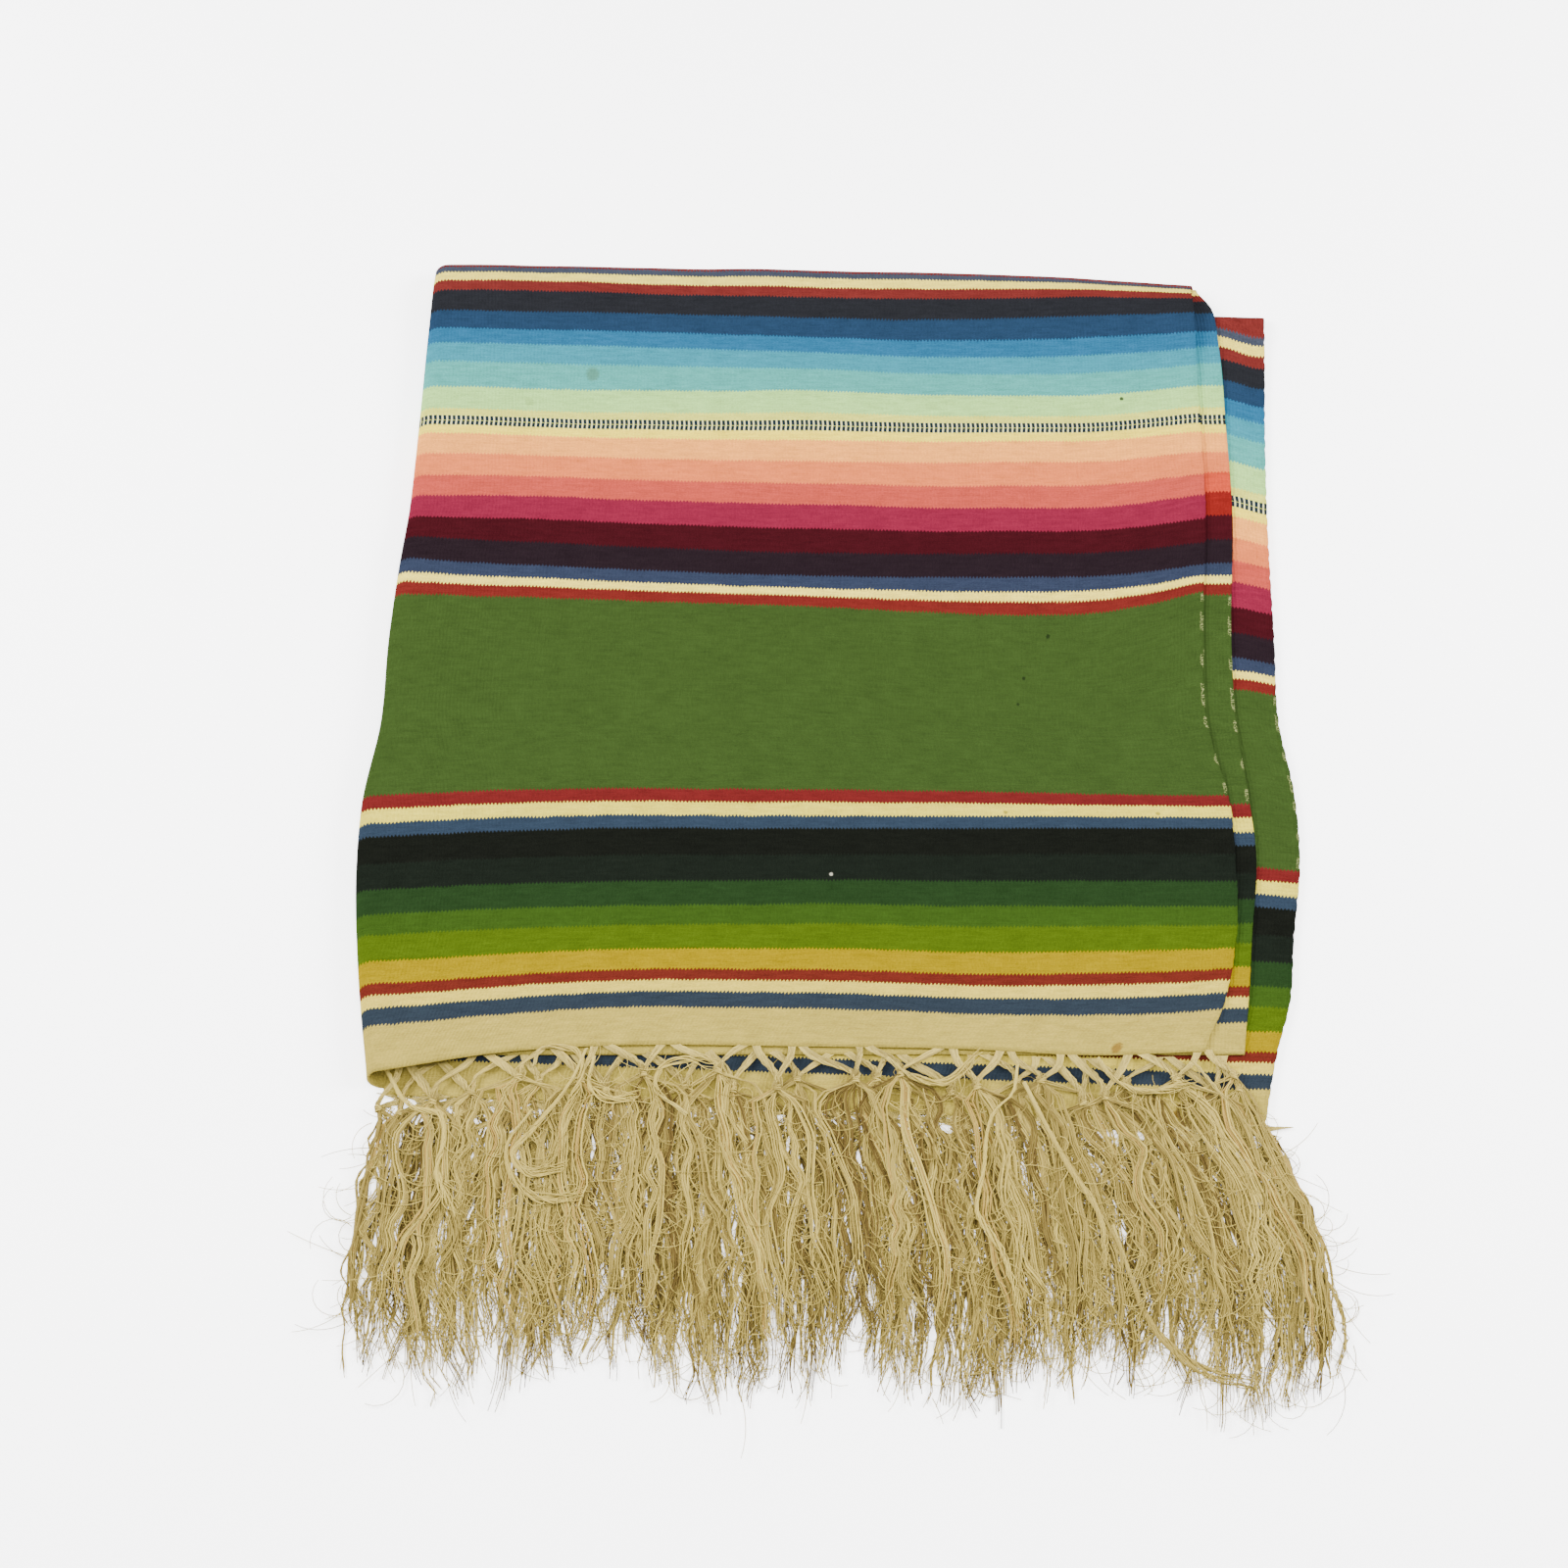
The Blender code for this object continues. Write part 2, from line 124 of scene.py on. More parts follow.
def smooth(places, values, at):
    """Reads values given at places anywhere between them, on a smooth curve."""
    places, values, at = np.asarray(places, float), np.asarray(values, float), np.asarray(at, float)
    slopes = np.gradient(values, places, axis=0)
    at = np.clip(at, places[0], places[-1])
    after = np.clip(np.searchsorted(places, at), 1, len(places) - 1)
    spread = at.shape + (1,) * (values.ndim - 1)
    width = (places[after] - places[after - 1]).reshape(spread)
    t = ((at - places[after - 1]) / (places[after] - places[after - 1])).reshape(spread)
    start, end = values[after - 1], values[after]
    bend_in, bend_out = slopes[after - 1] * width, slopes[after] * width
    return ((2 * t**3 - 3 * t**2 + 1) * start + (t**3 - 2 * t**2 + t) * bend_in
            + (3 * t**2 - 2 * t**3) * end + (t**3 - t**2) * bend_out)


def stack(column, y):
    return smooth([row.y for row in SECTIONS], [getattr(row, column) for row in SECTIONS], y)


def ease(share):
    share = np.clip(share, 0.0, 1.0)
    return share * share * (3.0 - 2.0 * share)


def roll_top(y):
    return stack("left", y) + CLOTH / 2 + ROLL_REACH


def lead(y, share):
    """How far the course that crosses the middle at y lies beyond it, for rows y and shares across."""
    rows = [[beyond / 1000.0 for beyond in row[1:]] for row in COURSES]
    at_rows = smooth([row.y for row in COURSES], rows, y)
    return smooth(PLACES, at_rows.T, share).T


def settle(x, y):
    """1 above the lower far fold, easing to 0 behind it."""
    fold = 0.545 - 0.041 * (x + 0.409)
    return np.exp(-(np.maximum(0.0, fold - y) / FOLD_SPREAD) ** 2)


def ripple(x, y, seed):
    """The slight unevenness of cloth laid by hand."""
    rng = np.random.default_rng(seed)
    total = 0.0
    for length in (0.31, 0.22, 0.15, 0.11, 0.075, 0.052):
        turn, shift = rng.uniform(0.0, 2.0 * math.pi, 2)
        along = x * math.cos(turn) + y * math.sin(turn)
        total = total + np.sin(2.0 * math.pi * along / length + shift) * length
    return total


def first_height(x, y, share):
    """Middle of the first quarter's wall: it swells to the left roll and to the far fold."""
    flat = CLOTH / 2 + 3 * LAYER
    over_folds = 2 * LOWER_TURN + 2 * CLOTH + 2 * UPPER_TURN + 0.0006 - 3 * LAYER
    to_roll = np.exp(-(np.maximum(0.0, x - roll_top(y)) / ROLL_SPREAD) ** 2)
    rise_left = (ROLL_HEIGHT - CLOTH / 2 - flat) * to_roll
    far = UPPER_FOLD - 0.020 * np.maximum(0.0, 2.0 * share - 1.0) ** 2
    droop = FOLD_DROOP * np.exp(-(np.maximum(0.0, far - y) / DROOP_SPREAD) ** 2)
    rise_far = over_folds * settle(x, y) - droop
    return flat + np.maximum(rise_left, 0.0) + rise_far * (1.0 - 0.45 * to_roll)


def creased(x, y):
    total = 0.0
    for crease in CREASES:
        run_x, run_y = crease.to_x - crease.x, crease.to_y - crease.y
        length = math.hypot(run_x, run_y)
        along = ((x - crease.x) * run_x + (y - crease.y) * run_y) / length**2
        beyond = (np.maximum(0.0, -along) + np.maximum(0.0, along - 1.0)) * length
        across = ((x - crease.x) * run_y - (y - crease.y) * run_x) / length
        away = np.hypot(across, beyond)
        total = total + crease.height * np.exp(-((away / crease.width) ** 2))
    return total


def laid(name, points, from_selvedge, from_fold, wall=CLOTH):
    """A sheet of cloth through a grid of points, with its place in the weave as its UV map."""
    rows, columns = points.shape[:2]
    corner = np.arange(rows * columns).reshape(rows, columns)
    quads = np.stack([corner[:-1, :-1], corner[:-1, 1:], corner[1:, 1:], corner[1:, :-1]], axis=-1)
    quads = quads.reshape(-1, 4)
    mesh = bpy.data.meshes.new(name)
    mesh.from_pydata(points.reshape(-1, 3).tolist(), [], quads.tolist())
    weave = np.stack([from_selvedge, from_fold], axis=-1).reshape(-1, 2)
    mesh.uv_layers.new(name="weave").data.foreach_set("uv", weave[quads.ravel()].ravel())
    mesh.shade_smooth()
    made = bpy.data.objects.new(name, mesh)
    bpy.context.scene.collection.objects.link(made)
    shell = made.modifiers.new("wall", "SOLIDIFY")
    shell.thickness, shell.offset = wall, 0.0
    return made


def spread_first():
    """The first quarter's points, and their distances from its selvedge and from the far fold."""
    start = UPPER_FOLD - UPPER_TURN
    down = np.concatenate([
        start - np.linspace(0.0, 0.060, 25),
        np.linspace(start - 0.060, UPPER_HEM, ROWS - 24)[1:],
    ])
    across = np.concatenate([
        np.linspace(0.0, 1.0, COLUMNS + 1),
        1.0 + np.arange(1, TURN_STEPS + 1) / TURN_STEPS,
        [2.0 + ROLL_FOOT],
    ])
    share = np.clip(1.0 - across, 0.0, 1.0)
    angle = np.clip(across - 1.0, 0.0, 1.0) * math.pi
    left = roll_top(down)[:, None]
    edge = stack("first", down)[:, None]
    edge = edge + 0.0006 * np.sin(down * 900.0)[:, None] * np.sin(down * 310.0)[:, None]
    x = left + (edge - left) * share
    y = down[:, None] + lead(down, share)
    z = first_height(x, y, share)
    middle = np.argmin(np.abs(share - 0.5))
    y = y - LEAN * (z - z[:, middle:middle + 1])
    inside = ease((edge - x) / 0.05) * ease((down[:, None] - UPPER_HEM) / 0.05)
    z = z + (creased(x, y) + 0.0020 * ripple(x, y, 5)) * inside
    z = z + 0.0005 * np.exp(-((edge - x) / 0.004 - 1.8) ** 2)
    z = z + 0.0004 * np.exp(-((edge - x) / 0.004 - 4.0) ** 2)
    turned = (1.0 - np.cos(angle)) / 2.0
    foot_y = y - 0.008 * ((UPPER_FOLD - down[:, None]) / (UPPER_FOLD - UPPER_HEM)) ** 2
    foot = np.maximum(0.0, across - 2.0)
    flat_u = (edge - x) + angle * ROLL_REACH
    x = x - ROLL_REACH * np.sin(angle) + foot
    z = z + (CLOTH / 2 - z) * turned
    y = y + (foot_y - y) * turned
    spread = np.stack([x, y, z], axis=-1)
    inward = np.stack([np.sin(angle), 0.0 * angle, -np.cos(angle)], axis=-1)
    slant = np.zeros_like(spread[0])
    slant[:, 0] = 0.005 * np.maximum(0.0, 1.0 - across * 4.0)
    turn = []
    for step in range(TURN_STEPS, 0, -1):
        around = math.pi * step / TURN_STEPS
        point = spread[0] + inward * UPPER_TURN * (1.0 - math.cos(around))
        point += slant * step / TURN_STEPS
        point[:, 1] += UPPER_TURN * math.sin(around)
        turn.append(point)
    flap = spread[1] + inward * 2 * UPPER_TURN + slant
    points = np.concatenate([[flap], turn, spread])
    seen = points[:, middle, 1] + LEAN * (points[:, middle, 2] - 0.0125)
    crest = int(np.argmax(seen))
    steps = np.linalg.norm(np.diff(points[:, middle], axis=0), axis=-1)
    course = seen.copy()
    for row in range(crest - 1, -1, -1):
        course[row] = course[row + 1] + steps[row]
    from_fold = (FAR_EDGE - course)[:, None] + 0.0 * points[..., 0]
    from_selvedge = np.concatenate([np.repeat(flat_u[:1], TURN_STEPS + 1, axis=0), flat_u])
    return points, from_selvedge, from_fold


class Lead:
    """An output of a material's node, which reckons with other outputs and with plain numbers."""

    def __init__(self, tree, socket=None):
        self.tree, self.socket = tree, socket

    def node(self, kind, settings, values, out=0):
        """Adds a node: its settings first, then its inputs by name or by number."""
        made = self.tree.nodes.new(kind)
        for name, value in settings.items():
            setattr(made, name, value)
        for key, value in values.items():
            if isinstance(value, Lead):
                self.tree.links.new(value.socket, made.inputs[key])
            else:
                made.inputs[key].default_value = value
        return Lead(self.tree, made.outputs[out])

    def math(self, operation, *values):
        return self.node("ShaderNodeMath", {"operation": operation}, dict(enumerate(values)))

    def __add__(self, other):
        return self.math("ADD", self, other)

    __radd__ = __add__

    def __sub__(self, other):
        return self.math("SUBTRACT", self, other)

    def __rsub__(self, other):
        return self.math("SUBTRACT", other, self)

    def __mul__(self, other):
        return self.math("MULTIPLY", self, other)

    __rmul__ = __mul__

    def __truediv__(self, other):
        return self.math("DIVIDE", self, other)

    def __gt__(self, other):
        return self.math("GREATER_THAN", self, other)

    def __lt__(self, other):
        return self.math("LESS_THAN", self, other)

    def blend(self, share, colour, other):
        """colour where share is 0 and other where it is 1."""
        kinds = {"data_type": "RGBA", "blend_type": "MIX"}
        return self.node("ShaderNodeMix", kinds, {0: share, 6: colour, 7: other}, out=2)

    def scaled(self, colour, factor):
        """A colour made darker or lighter."""
        values = {0: colour, "Scale": factor}
        return self.node("ShaderNodeVectorMath", {"operation": "SCALE"}, values)

    def place(self, x, y, z=0.0):
        return self.node("ShaderNodeCombineXYZ", {}, {0: x, 1: y, 2: z})

    def noise(self, place, scale, detail=2.0):
        values = {"Vector": place, "Scale": scale, "Detail": detail}
        return self.node("ShaderNodeTexNoise", {}, values)


def finish_of(name):
    """A new material, its main shader and a starting lead."""
    made = bpy.data.materials.new(name)
    made.use_nodes = True
    return made, made.node_tree.nodes["Principled BSDF"], Lead(made.node_tree)


# The bands, from the far fold to the hem: where each starts, in millimetres from the fold, and
# the colour of its weft. back is its colour on the cloth's other face, where it differs.
Band = namedtuple("Band", "start colour back")
RED, CREAM = (0.105, 0.0150, 0.0130), (0.660, 0.530, 0.085)
GREEN = (0.0260, 0.0480, 0.0106)
BANDS = [
    Band(-400.0, (0.150, 0.014, 0.030), None),
    Band(-19.0, GREEN, None),
    Band(-9.0, RED, None),
    Band(8.0, (0.034, 0.040, 0.057), None),
    Band(15.5, CREAM, None),
    Band(26.5, RED, None),
    Band(38.0, (0.0118, 0.0124, 0.0148), None),
    Band(61.0, (0.0115, 0.0288, 0.0590), None),
    Band(82.5, (0.0135, 0.0850, 0.1640), None),
    Band(99.5, (0.0250, 0.1700, 0.2200), None),
    Band(118.0, (0.0510, 0.2520, 0.2230), None),
    Band(142.5, (0.2800, 0.4850, 0.1440), None),
    Band(167.0, (0.4800, 0.4800, 0.0820), None),
    Band(187.0, (0.7000, 0.5400, 0.0480), None),
    Band(197.5, (0.6900, 0.2620, 0.0560), None),
    Band(221.0, (0.5450, 0.1310, 0.0410), None),
    Band(245.5, (0.3550, 0.0500, 0.0340), (0.400, 0.045, 0.020)),
    Band(268.5, (0.1500, 0.0105, 0.0280), (0.150, 0.010, 0.008)),
    Band(294.5, (0.0326, 0.0041, 0.0063), None),
    Band(320.5, (0.0115, 0.0069, 0.0092), None),
    Band(345.0, (0.0195, 0.0260, 0.0470), None),
    Band(358.0, CREAM, None),
    Band(366.0, (0.1050, 0.0118, 0.0095), None),
    Band(377.0, GREEN, None),
    Band(563.5, (0.0970, 0.0104, 0.0100), None),
    Band(576.0, (0.5300, 0.4400, 0.0500), None),
    Band(589.0, (0.0174, 0.0275, 0.0436), None),
    Band(601.5, (0.0054, 0.0061, 0.0046), None),
    Band(627.0, (0.0065, 0.0088, 0.0062), None),
    Band(651.5, (0.0112, 0.0270, 0.0078), None),
    Band(674.0, (0.0248, 0.0530, 0.0069), None),
    Band(693.0, (0.0465, 0.0780, 0.0042), None),
    Band(716.5, (0.2150, 0.1500, 0.0), None),
    Band(736.0, (0.0920, 0.0134, 0.0084), None),
    Band(746.5, (0.4850, 0.3780, 0.0545), None),
    Band(757.5, (0.0172, 0.0248, 0.0342), None),
    Band(772.5, (0.3300, 0.2550, 0.0480), None),
]
# Marks on the cloth: place in metres from the selvedge and from the fold, size, and colour.
Mark = namedtuple("Mark", "u v size strength colour")
MARKS = [
    Mark(0.581, 0.127, 0.007, 0.45, (0.060, 0.070, 0.012)),
    Mark(0.640, 0.157, 0.005, 0.25, (0.080, 0.090, 0.020)),
    Mark(0.074, 0.149, 0.0022, 0.90, (0.006, 0.006, 0.006)),
    Mark(0.078, 0.801, 0.0050, 0.65, (0.120, 0.045, 0.006)),
    Mark(0.202, 0.585, 0.0022, 0.60, (0.050, 0.030, 0.010)),
    Mark(0.066, 0.585, 0.0022, 0.60, (0.050, 0.030, 0.010)),
    Mark(0.145, 0.396, 0.0022, 0.80, (0.006, 0.012, 0.004)),
    Mark(0.166, 0.437, 0.0018, 0.80, (0.006, 0.012, 0.004)),
    Mark(0.170, 0.465, 0.0016, 0.80, (0.006, 0.012, 0.004)),
    Mark(0.358, 0.646, 0.0018, 0.80, (0.400, 0.380, 0.300)),
]
RIB = 0.0032            # warp yarns lie this far apart
PICK = 0.0011           # and wefts
DYE = 0.64
TEETH = 0.0009          # how far a band's edge steps to and fro between warps
CHECK = 0.0044          # one dark and one pale check, along the weft
CHECK_ROWS = [(175.5, 181.2), (181.7, 187.0)]   # in millimetres from the fold, as the bands
CHECK_GROUND, CHECK_DARK = (0.600, 0.580, 0.300), (0.010, 0.016, 0.022)
GREEN_FIELD = (0.379, 0.561)
FRAY_WIDTH, FRAY = 0.0030, (0.330, 0.340, 0.140)


def dyed(colour):
    """A listed colour as the wool takes it."""
    return tuple(DYE * part for part in colour) + (1.0,)


def woven(name, face):
    """Banded weft-faced cloth. Its edges step from warp to warp, and its weft is streaky."""
    made, shader, lead_in = finish_of(name)
    weave = lead_in.node("ShaderNodeUVMap", {"uv_map": "weave"}, {})
    parts = lead_in.node("ShaderNodeSeparateXYZ", {}, {0: weave})
    u, v = parts, Lead(made.node_tree, parts.socket.node.outputs[1])
    rib = (u * (2.0 * math.pi / RIB)).math("SINE", u * (2.0 * math.pi / RIB))
    wander = lead_in.noise(lead_in.place(u * 60.0, v * 60.0), 1.0)
    streak = lead_in.noise(lead_in.place(u * 45.0, v * 900.0), 1.0, 3.0)
    thread = lead_in.noise(lead_in.place(u * 420.0, v * 1300.0), 1.0, 1.0)
    at = v * 1000.0 + rib * (TEETH * 1000.0) + (wander - 0.5) * 2.4 + (thread - 0.5) * 1.6
    colour = dyed(BANDS[0].colour)
    for band in BANDS[1:]:
        weft = band.back if band.back and not face else band.colour
        colour = lead_in.blend(at > band.start, colour, dyed(weft))
    # The checked band: two rows of black picks that show on every other pair of warps.
    check = (u * (2.0 * math.pi / CHECK)).math("SINE", u * (2.0 * math.pi / CHECK)) > -0.42
    upper, lower = [(v * 1000.0 > start) * (v * 1000.0 < end) for start, end in CHECK_ROWS]
    colour = lead_in.blend((upper + lower) * 0.8, colour, dyed(CHECK_GROUND))
    colour = lead_in.blend(check * (upper + lower), colour, dyed(CHECK_DARK))
    slub = lead_in.noise(lead_in.place(u * 60.0, v * 300.0, 3.0), 1.0, 2.0)
    patch = lead_in.noise(lead_in.place(u * 22.0, v * 40.0, 7.0), 1.0, 2.0)
    heather = streak * 0.50 + thread * 0.70 + slub * 0.50 + patch * 0.22 + 0.04
    colour = lead_in.scaled(colour, heather)
    for mark in MARKS:
        off_u, off_v = (u - mark.u) / mark.size, (v - mark.v) / mark.size
        near = (1.6 - (off_u * off_u + off_v * off_v) - thread) * 1.5
        share = lead_in.node("ShaderNodeClamp", {}, {0: near}) * mark.strength
        colour = lead_in.blend(share, colour, dyed(mark.colour))
    field = (v > GREEN_FIELD[0]) * (v < GREEN_FIELD[1])
    fray = field * (u < FRAY_WIDTH) * (wander > 0.50) * (thread > 0.52)
    colour = lead_in.blend(fray * 0.6, colour, dyed(FRAY))
    tree = made.node_tree
    tree.links.new(colour.socket, shader.inputs["Base Color"])
    pick = (v * (2.0 * math.pi / PICK)).math("SINE", v * (2.0 * math.pi / PICK))
    height = rib * 0.5 + pick * 0.18 + streak * 1.1 + thread * 0.9
    raised = {"Strength": 0.55, "Distance": 0.0006, "Height": height}
    tree.links.new(lead_in.node("ShaderNodeBump", {}, raised).socket, shader.inputs["Normal"])
    shader.inputs["Roughness"].default_value = 0.92
    shader.inputs["Specular IOR Level"].default_value = 0.0
    return made


face_finish, back_finish = woven("woven_face", True), woven("woven_back", False)
first_quarter = laid("first_quarter_cloth", *spread_first())
first_quarter.data.materials.append(face_finish)
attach(first_quarter, "root")
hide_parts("first_quarter")


# ---------------------------------------------------------------------------------------
# Second quarter. It lies face down under the first, joined to it at the upper far fold, and
# shows as a strip past its selvedge. Its wefts carry over from the first with a small drift.
# ---------------------------------------------------------------------------------------
# Where its courses lie at the right edge, against the first quarter's at its middle.
Shift = namedtuple("Shift", "y course")
SECOND_SHIFTS = [
    Shift(-0.251, -0.242), Shift(-0.219, -0.207), Shift(-0.169, -0.153), Shift(-0.013, 0.000),
    Shift(0.201, 0.187), Shift(0.311, 0.295), Shift(0.400, 0.392), Shift(0.492, 0.483),
    Shift(0.512, 0.504), Shift(0.526, 0.528), Shift(0.538, 0.547), Shift(0.550, 0.560),
]


def spread_second():
    y_right = np.linspace(UPPER_FOLD - 0.020 - UPPER_TURN - FOLD_FLAP, -0.2485, 200)
    edge = stack("second", y_right)
    edge = edge + 0.0006 * np.sin(y_right * 810.0) * np.sin(y_right * 270.0)
    edge = edge - 0.013 * ease((y_right - 0.490) / 0.0335) ** 2
    left = roll_top(y_right) + 0.004
    share = np.concatenate([np.linspace(0.0, 0.93, 14), np.linspace(0.93, 1.0, 15)[1:]])
    x = left[:, None] + (edge - left)[:, None] * share
    bare = ease((x - 0.338) / 0.012)
    y = y_right[:, None] + 0.0150 * bare * ease((y_right[:, None] - 0.470) / 0.0535)
    clear = 2 * LOWER_TURN + CLOTH + 0.0015 - 2 * LAYER
    z = CLOTH / 2 + 2 * LAYER + clear * settle(x, y)
    droop = np.exp(-(np.maximum(0.0, 0.538 - y) / DROOP_SPREAD) ** 2)
    z = z - FOLD_DROOP * (1.0 - 0.6 * bare) * droop
    z = z + 0.0005 * np.exp(-(((edge[:, None] - x) / 0.003) - 1.6) ** 2)
    seen = y[:, -1] + LEAN * (z[:, -1] - 0.009)
    course = smooth([s.y for s in SECOND_SHIFTS], [s.course for s in SECOND_SHIFTS], seen)
    from_fold = (FAR_EDGE - course)[:, None] + 0.0 * x
    return np.stack([x, y, z], axis=-1), edge[:, None] - x, from_fold


second_quarter = laid("second_quarter_cloth", *spread_second())
second_quarter.data.materials.append(back_finish)
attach(second_quarter, "root")
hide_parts("second_edge", "hidden_layers")


# ---------------------------------------------------------------------------------------
# Third quarter. It lies face up on the fourth, joined to it at the lower far fold, turned a
# little clockwise. It shows past the second's selvedge and as a border under the fringe.
# ---------------------------------------------------------------------------------------
THIRD_TILT = -0.038     # how its courses slope across
THIRD_SHIFTS = [
    Shift(-0.311, -0.242), Shift(-0.279, -0.207), Shift(-0.228, -0.153), Shift(-0.073, 0.000),
    Shift(0.104, 0.187), Shift(0.216, 0.295), Shift(0.312, 0.390), Shift(0.420, 0.483),
    Shift(0.465, 0.528), Shift(0.477, 0.538), Shift(0.490, 0.550), Shift(0.498, 0.556),
    Shift(0.511, 0.562),
]


def spread_third():
    at = np.linspace(0.5060, -0.3128, 200)
    edge = stack("third", at) + 0.0006 * np.sin(at * 870.0) * np.sin(at * 290.0)
    left = stack("left", at) + 0.010
    share = np.concatenate([np.linspace(0.0, 0.88, 40), np.linspace(0.88, 1.0, 17)[1:]])
    x = left[:, None] + (edge - left)[:, None] * share
    y = at[:, None] + THIRD_TILT * (x - 0.38)
    bend = ease((at[:, None] + 0.35) / 0.85) * 0.011 * ease((x - 0.375) / 0.045)
    z = CLOTH / 2 + LAYER + (2 * LOWER_TURN - LAYER) * settle(x, y)
    z = z + 0.0005 * np.exp(-(((edge[:, None] - x) / 0.003) - 1.6) ** 2)
    turn = []
    for step in range(TURN_STEPS, 0, -1):
        around = math.pi * step / TURN_STEPS
        point = np.stack([x[0], y[0], z[0]], axis=-1)
        point[:, 1] += LOWER_TURN * math.sin(around)
        point[:, 2] -= LOWER_TURN * (1.0 - math.cos(around))
        turn.append(point)
    flap = np.stack([x[3], y[3], 0.0 * z[0] + CLOTH / 2], axis=-1)
    points = np.concatenate([[flap], turn, np.stack([x, y, z], axis=-1)])
    seen = at[:, None] + LEAN * (z - 0.006) + bend
    course = smooth([s.y for s in THIRD_SHIFTS], [s.course for s in THIRD_SHIFTS], seen)
    before = course[0] + 0.0011 * np.arange(TURN_STEPS + 1, 0, -1)[:, None]
    from_fold = FAR_EDGE - np.concatenate([before, course])
    from_selvedge = edge[:, None] - x
    from_selvedge = np.concatenate([np.repeat(from_selvedge[:1], TURN_STEPS + 1, axis=0), from_selvedge])
    return points, from_selvedge, from_fold


third_quarter = laid("third_quarter_cloth", *spread_third())
third_quarter.data.materials.append(face_finish)
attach(third_quarter, "root")
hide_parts("third_edge", "third_hem", "lower_fold")


# ---------------------------------------------------------------------------------------
# Fourth quarter. The bottom one, face down on the floor, from the left roll's foot to just
# inside the third's selvedge.
# ---------------------------------------------------------------------------------------
def spread_fourth():
    at = np.linspace(0.4935, -0.3118, 90)
    edge = stack("third", at) - 0.006
    left = roll_top(at) + 0.007
    share = np.linspace(0.0, 1.0, 30)
    x = left[:, None] + (edge - left)[:, None] * share
    y = at[:, None] + THIRD_TILT * (x - 0.38)
    z = CLOTH / 2 + 0.0 * x
    from_fold = (FAR_EDGE - at - 0.045)[:, None] + 0.0 * x
    return np.stack([x, y, z], axis=-1), edge[:, None] - x, from_fold


fourth_quarter = laid("fourth_quarter_cloth", *spread_fourth())
fourth_quarter.data.materials.append(back_finish)
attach(fourth_quarter, "root")


# ---------------------------------------------------------------------------------------
# Upper fringe. The warp ends of the first two quarters, parted in halves and knotted to their
# neighbours' halves, then hanging free in locks of fine cotton yarn.
# ---------------------------------------------------------------------------------------
Spread = namedtuple("Spread", "reach left right")
UPPER_SPREAD = [
    Spread(0.00, -0.386, 0.345),
    Spread(0.15, -0.388, 0.352),
    Spread(0.40, -0.396, 0.378),
    Spread(0.75, -0.405, 0.408),
    Spread(1.00, -0.402, 0.410),
]
KNOT_POINTS = 10        # points of a yarn from the hem to its knot
LOOSE_POINTS = 22       # and from there to its tip
YARN = 0.00080          # radius of a yarn
FIBRE = 0.00042         # radius of a loose fibre


def strands(name, paths, thick, shade, sides=3, closed=False):
    """Yarns as slim tubes in one mesh. Their UV map holds a shade and the way along."""
    count, steps = paths.shape[:2]
    if closed:
        tangent = np.roll(paths, -1, axis=1) - np.roll(paths, 1, axis=1)
    else:
        tangent = np.gradient(paths, axis=1)
    tangent /= np.maximum(np.linalg.norm(tangent, axis=-1, keepdims=True), 1e-9)
    side = np.cross(tangent, [0.0, 0.0, 1.0])
    side /= np.maximum(np.linalg.norm(side, axis=-1, keepdims=True), 1e-6)
    rise = np.cross(side, tangent)
    angle = 2.0 * math.pi * np.arange(sides) / sides + 0.5
    ring = side[:, :, None] * np.cos(angle)[:, None] + rise[:, :, None] * np.sin(angle)[:, None]
    points = paths[:, :, None] + ring * thick[:, :, None, None]
    corner = np.arange(count * steps * sides).reshape(count, steps, sides)
    after = np.roll(corner, -1, axis=2)
    if closed:
        ahead, ahead_after = np.roll(corner, -1, axis=1), np.roll(after, -1, axis=1)
        quads = np.stack([corner, after, ahead_after, ahead], axis=-1)
    else:
        quads = np.stack([corner[:, :-1], after[:, :-1], after[:, 1:], corner[:, 1:]], axis=-1)
    quads = quads.reshape(-1, 4)
    mesh = bpy.data.meshes.new(name)
    mesh.from_pydata(points.reshape(-1, 3).tolist(), [], quads.tolist())
    along = np.broadcast_to(np.linspace(0.0, 1.0, steps)[None, :, None], (count, steps, sides))
    tint = np.broadcast_to(shade[:, None, None], (count, steps, sides))
    place = np.stack([tint, along], axis=-1).reshape(-1, 2)
    mesh.uv_layers.new(name="yarn").data.foreach_set("uv", place[quads.ravel()].ravel())
    mesh.shade_smooth()
    made = bpy.data.objects.new(name, mesh)
    bpy.context.scene.collection.objects.link(made)
    return made


def spread_x(table, reach, share):
    places = [row.reach for row in table]
    left = smooth(places, [row.left for row in table], reach)
    right = smooth(places, [row.right for row in table], reach)
    return left + (right - left) * share


def kept_in(x, low, high):
    """Keeps yarns that stray past the fringe's sides near them."""
    over, under = np.maximum(0.0, x - high), np.maximum(0.0, low - x)
    return x - over + 0.010 * np.tanh(over / 0.020) + under - 0.010 * np.tanh(under / 0.020)


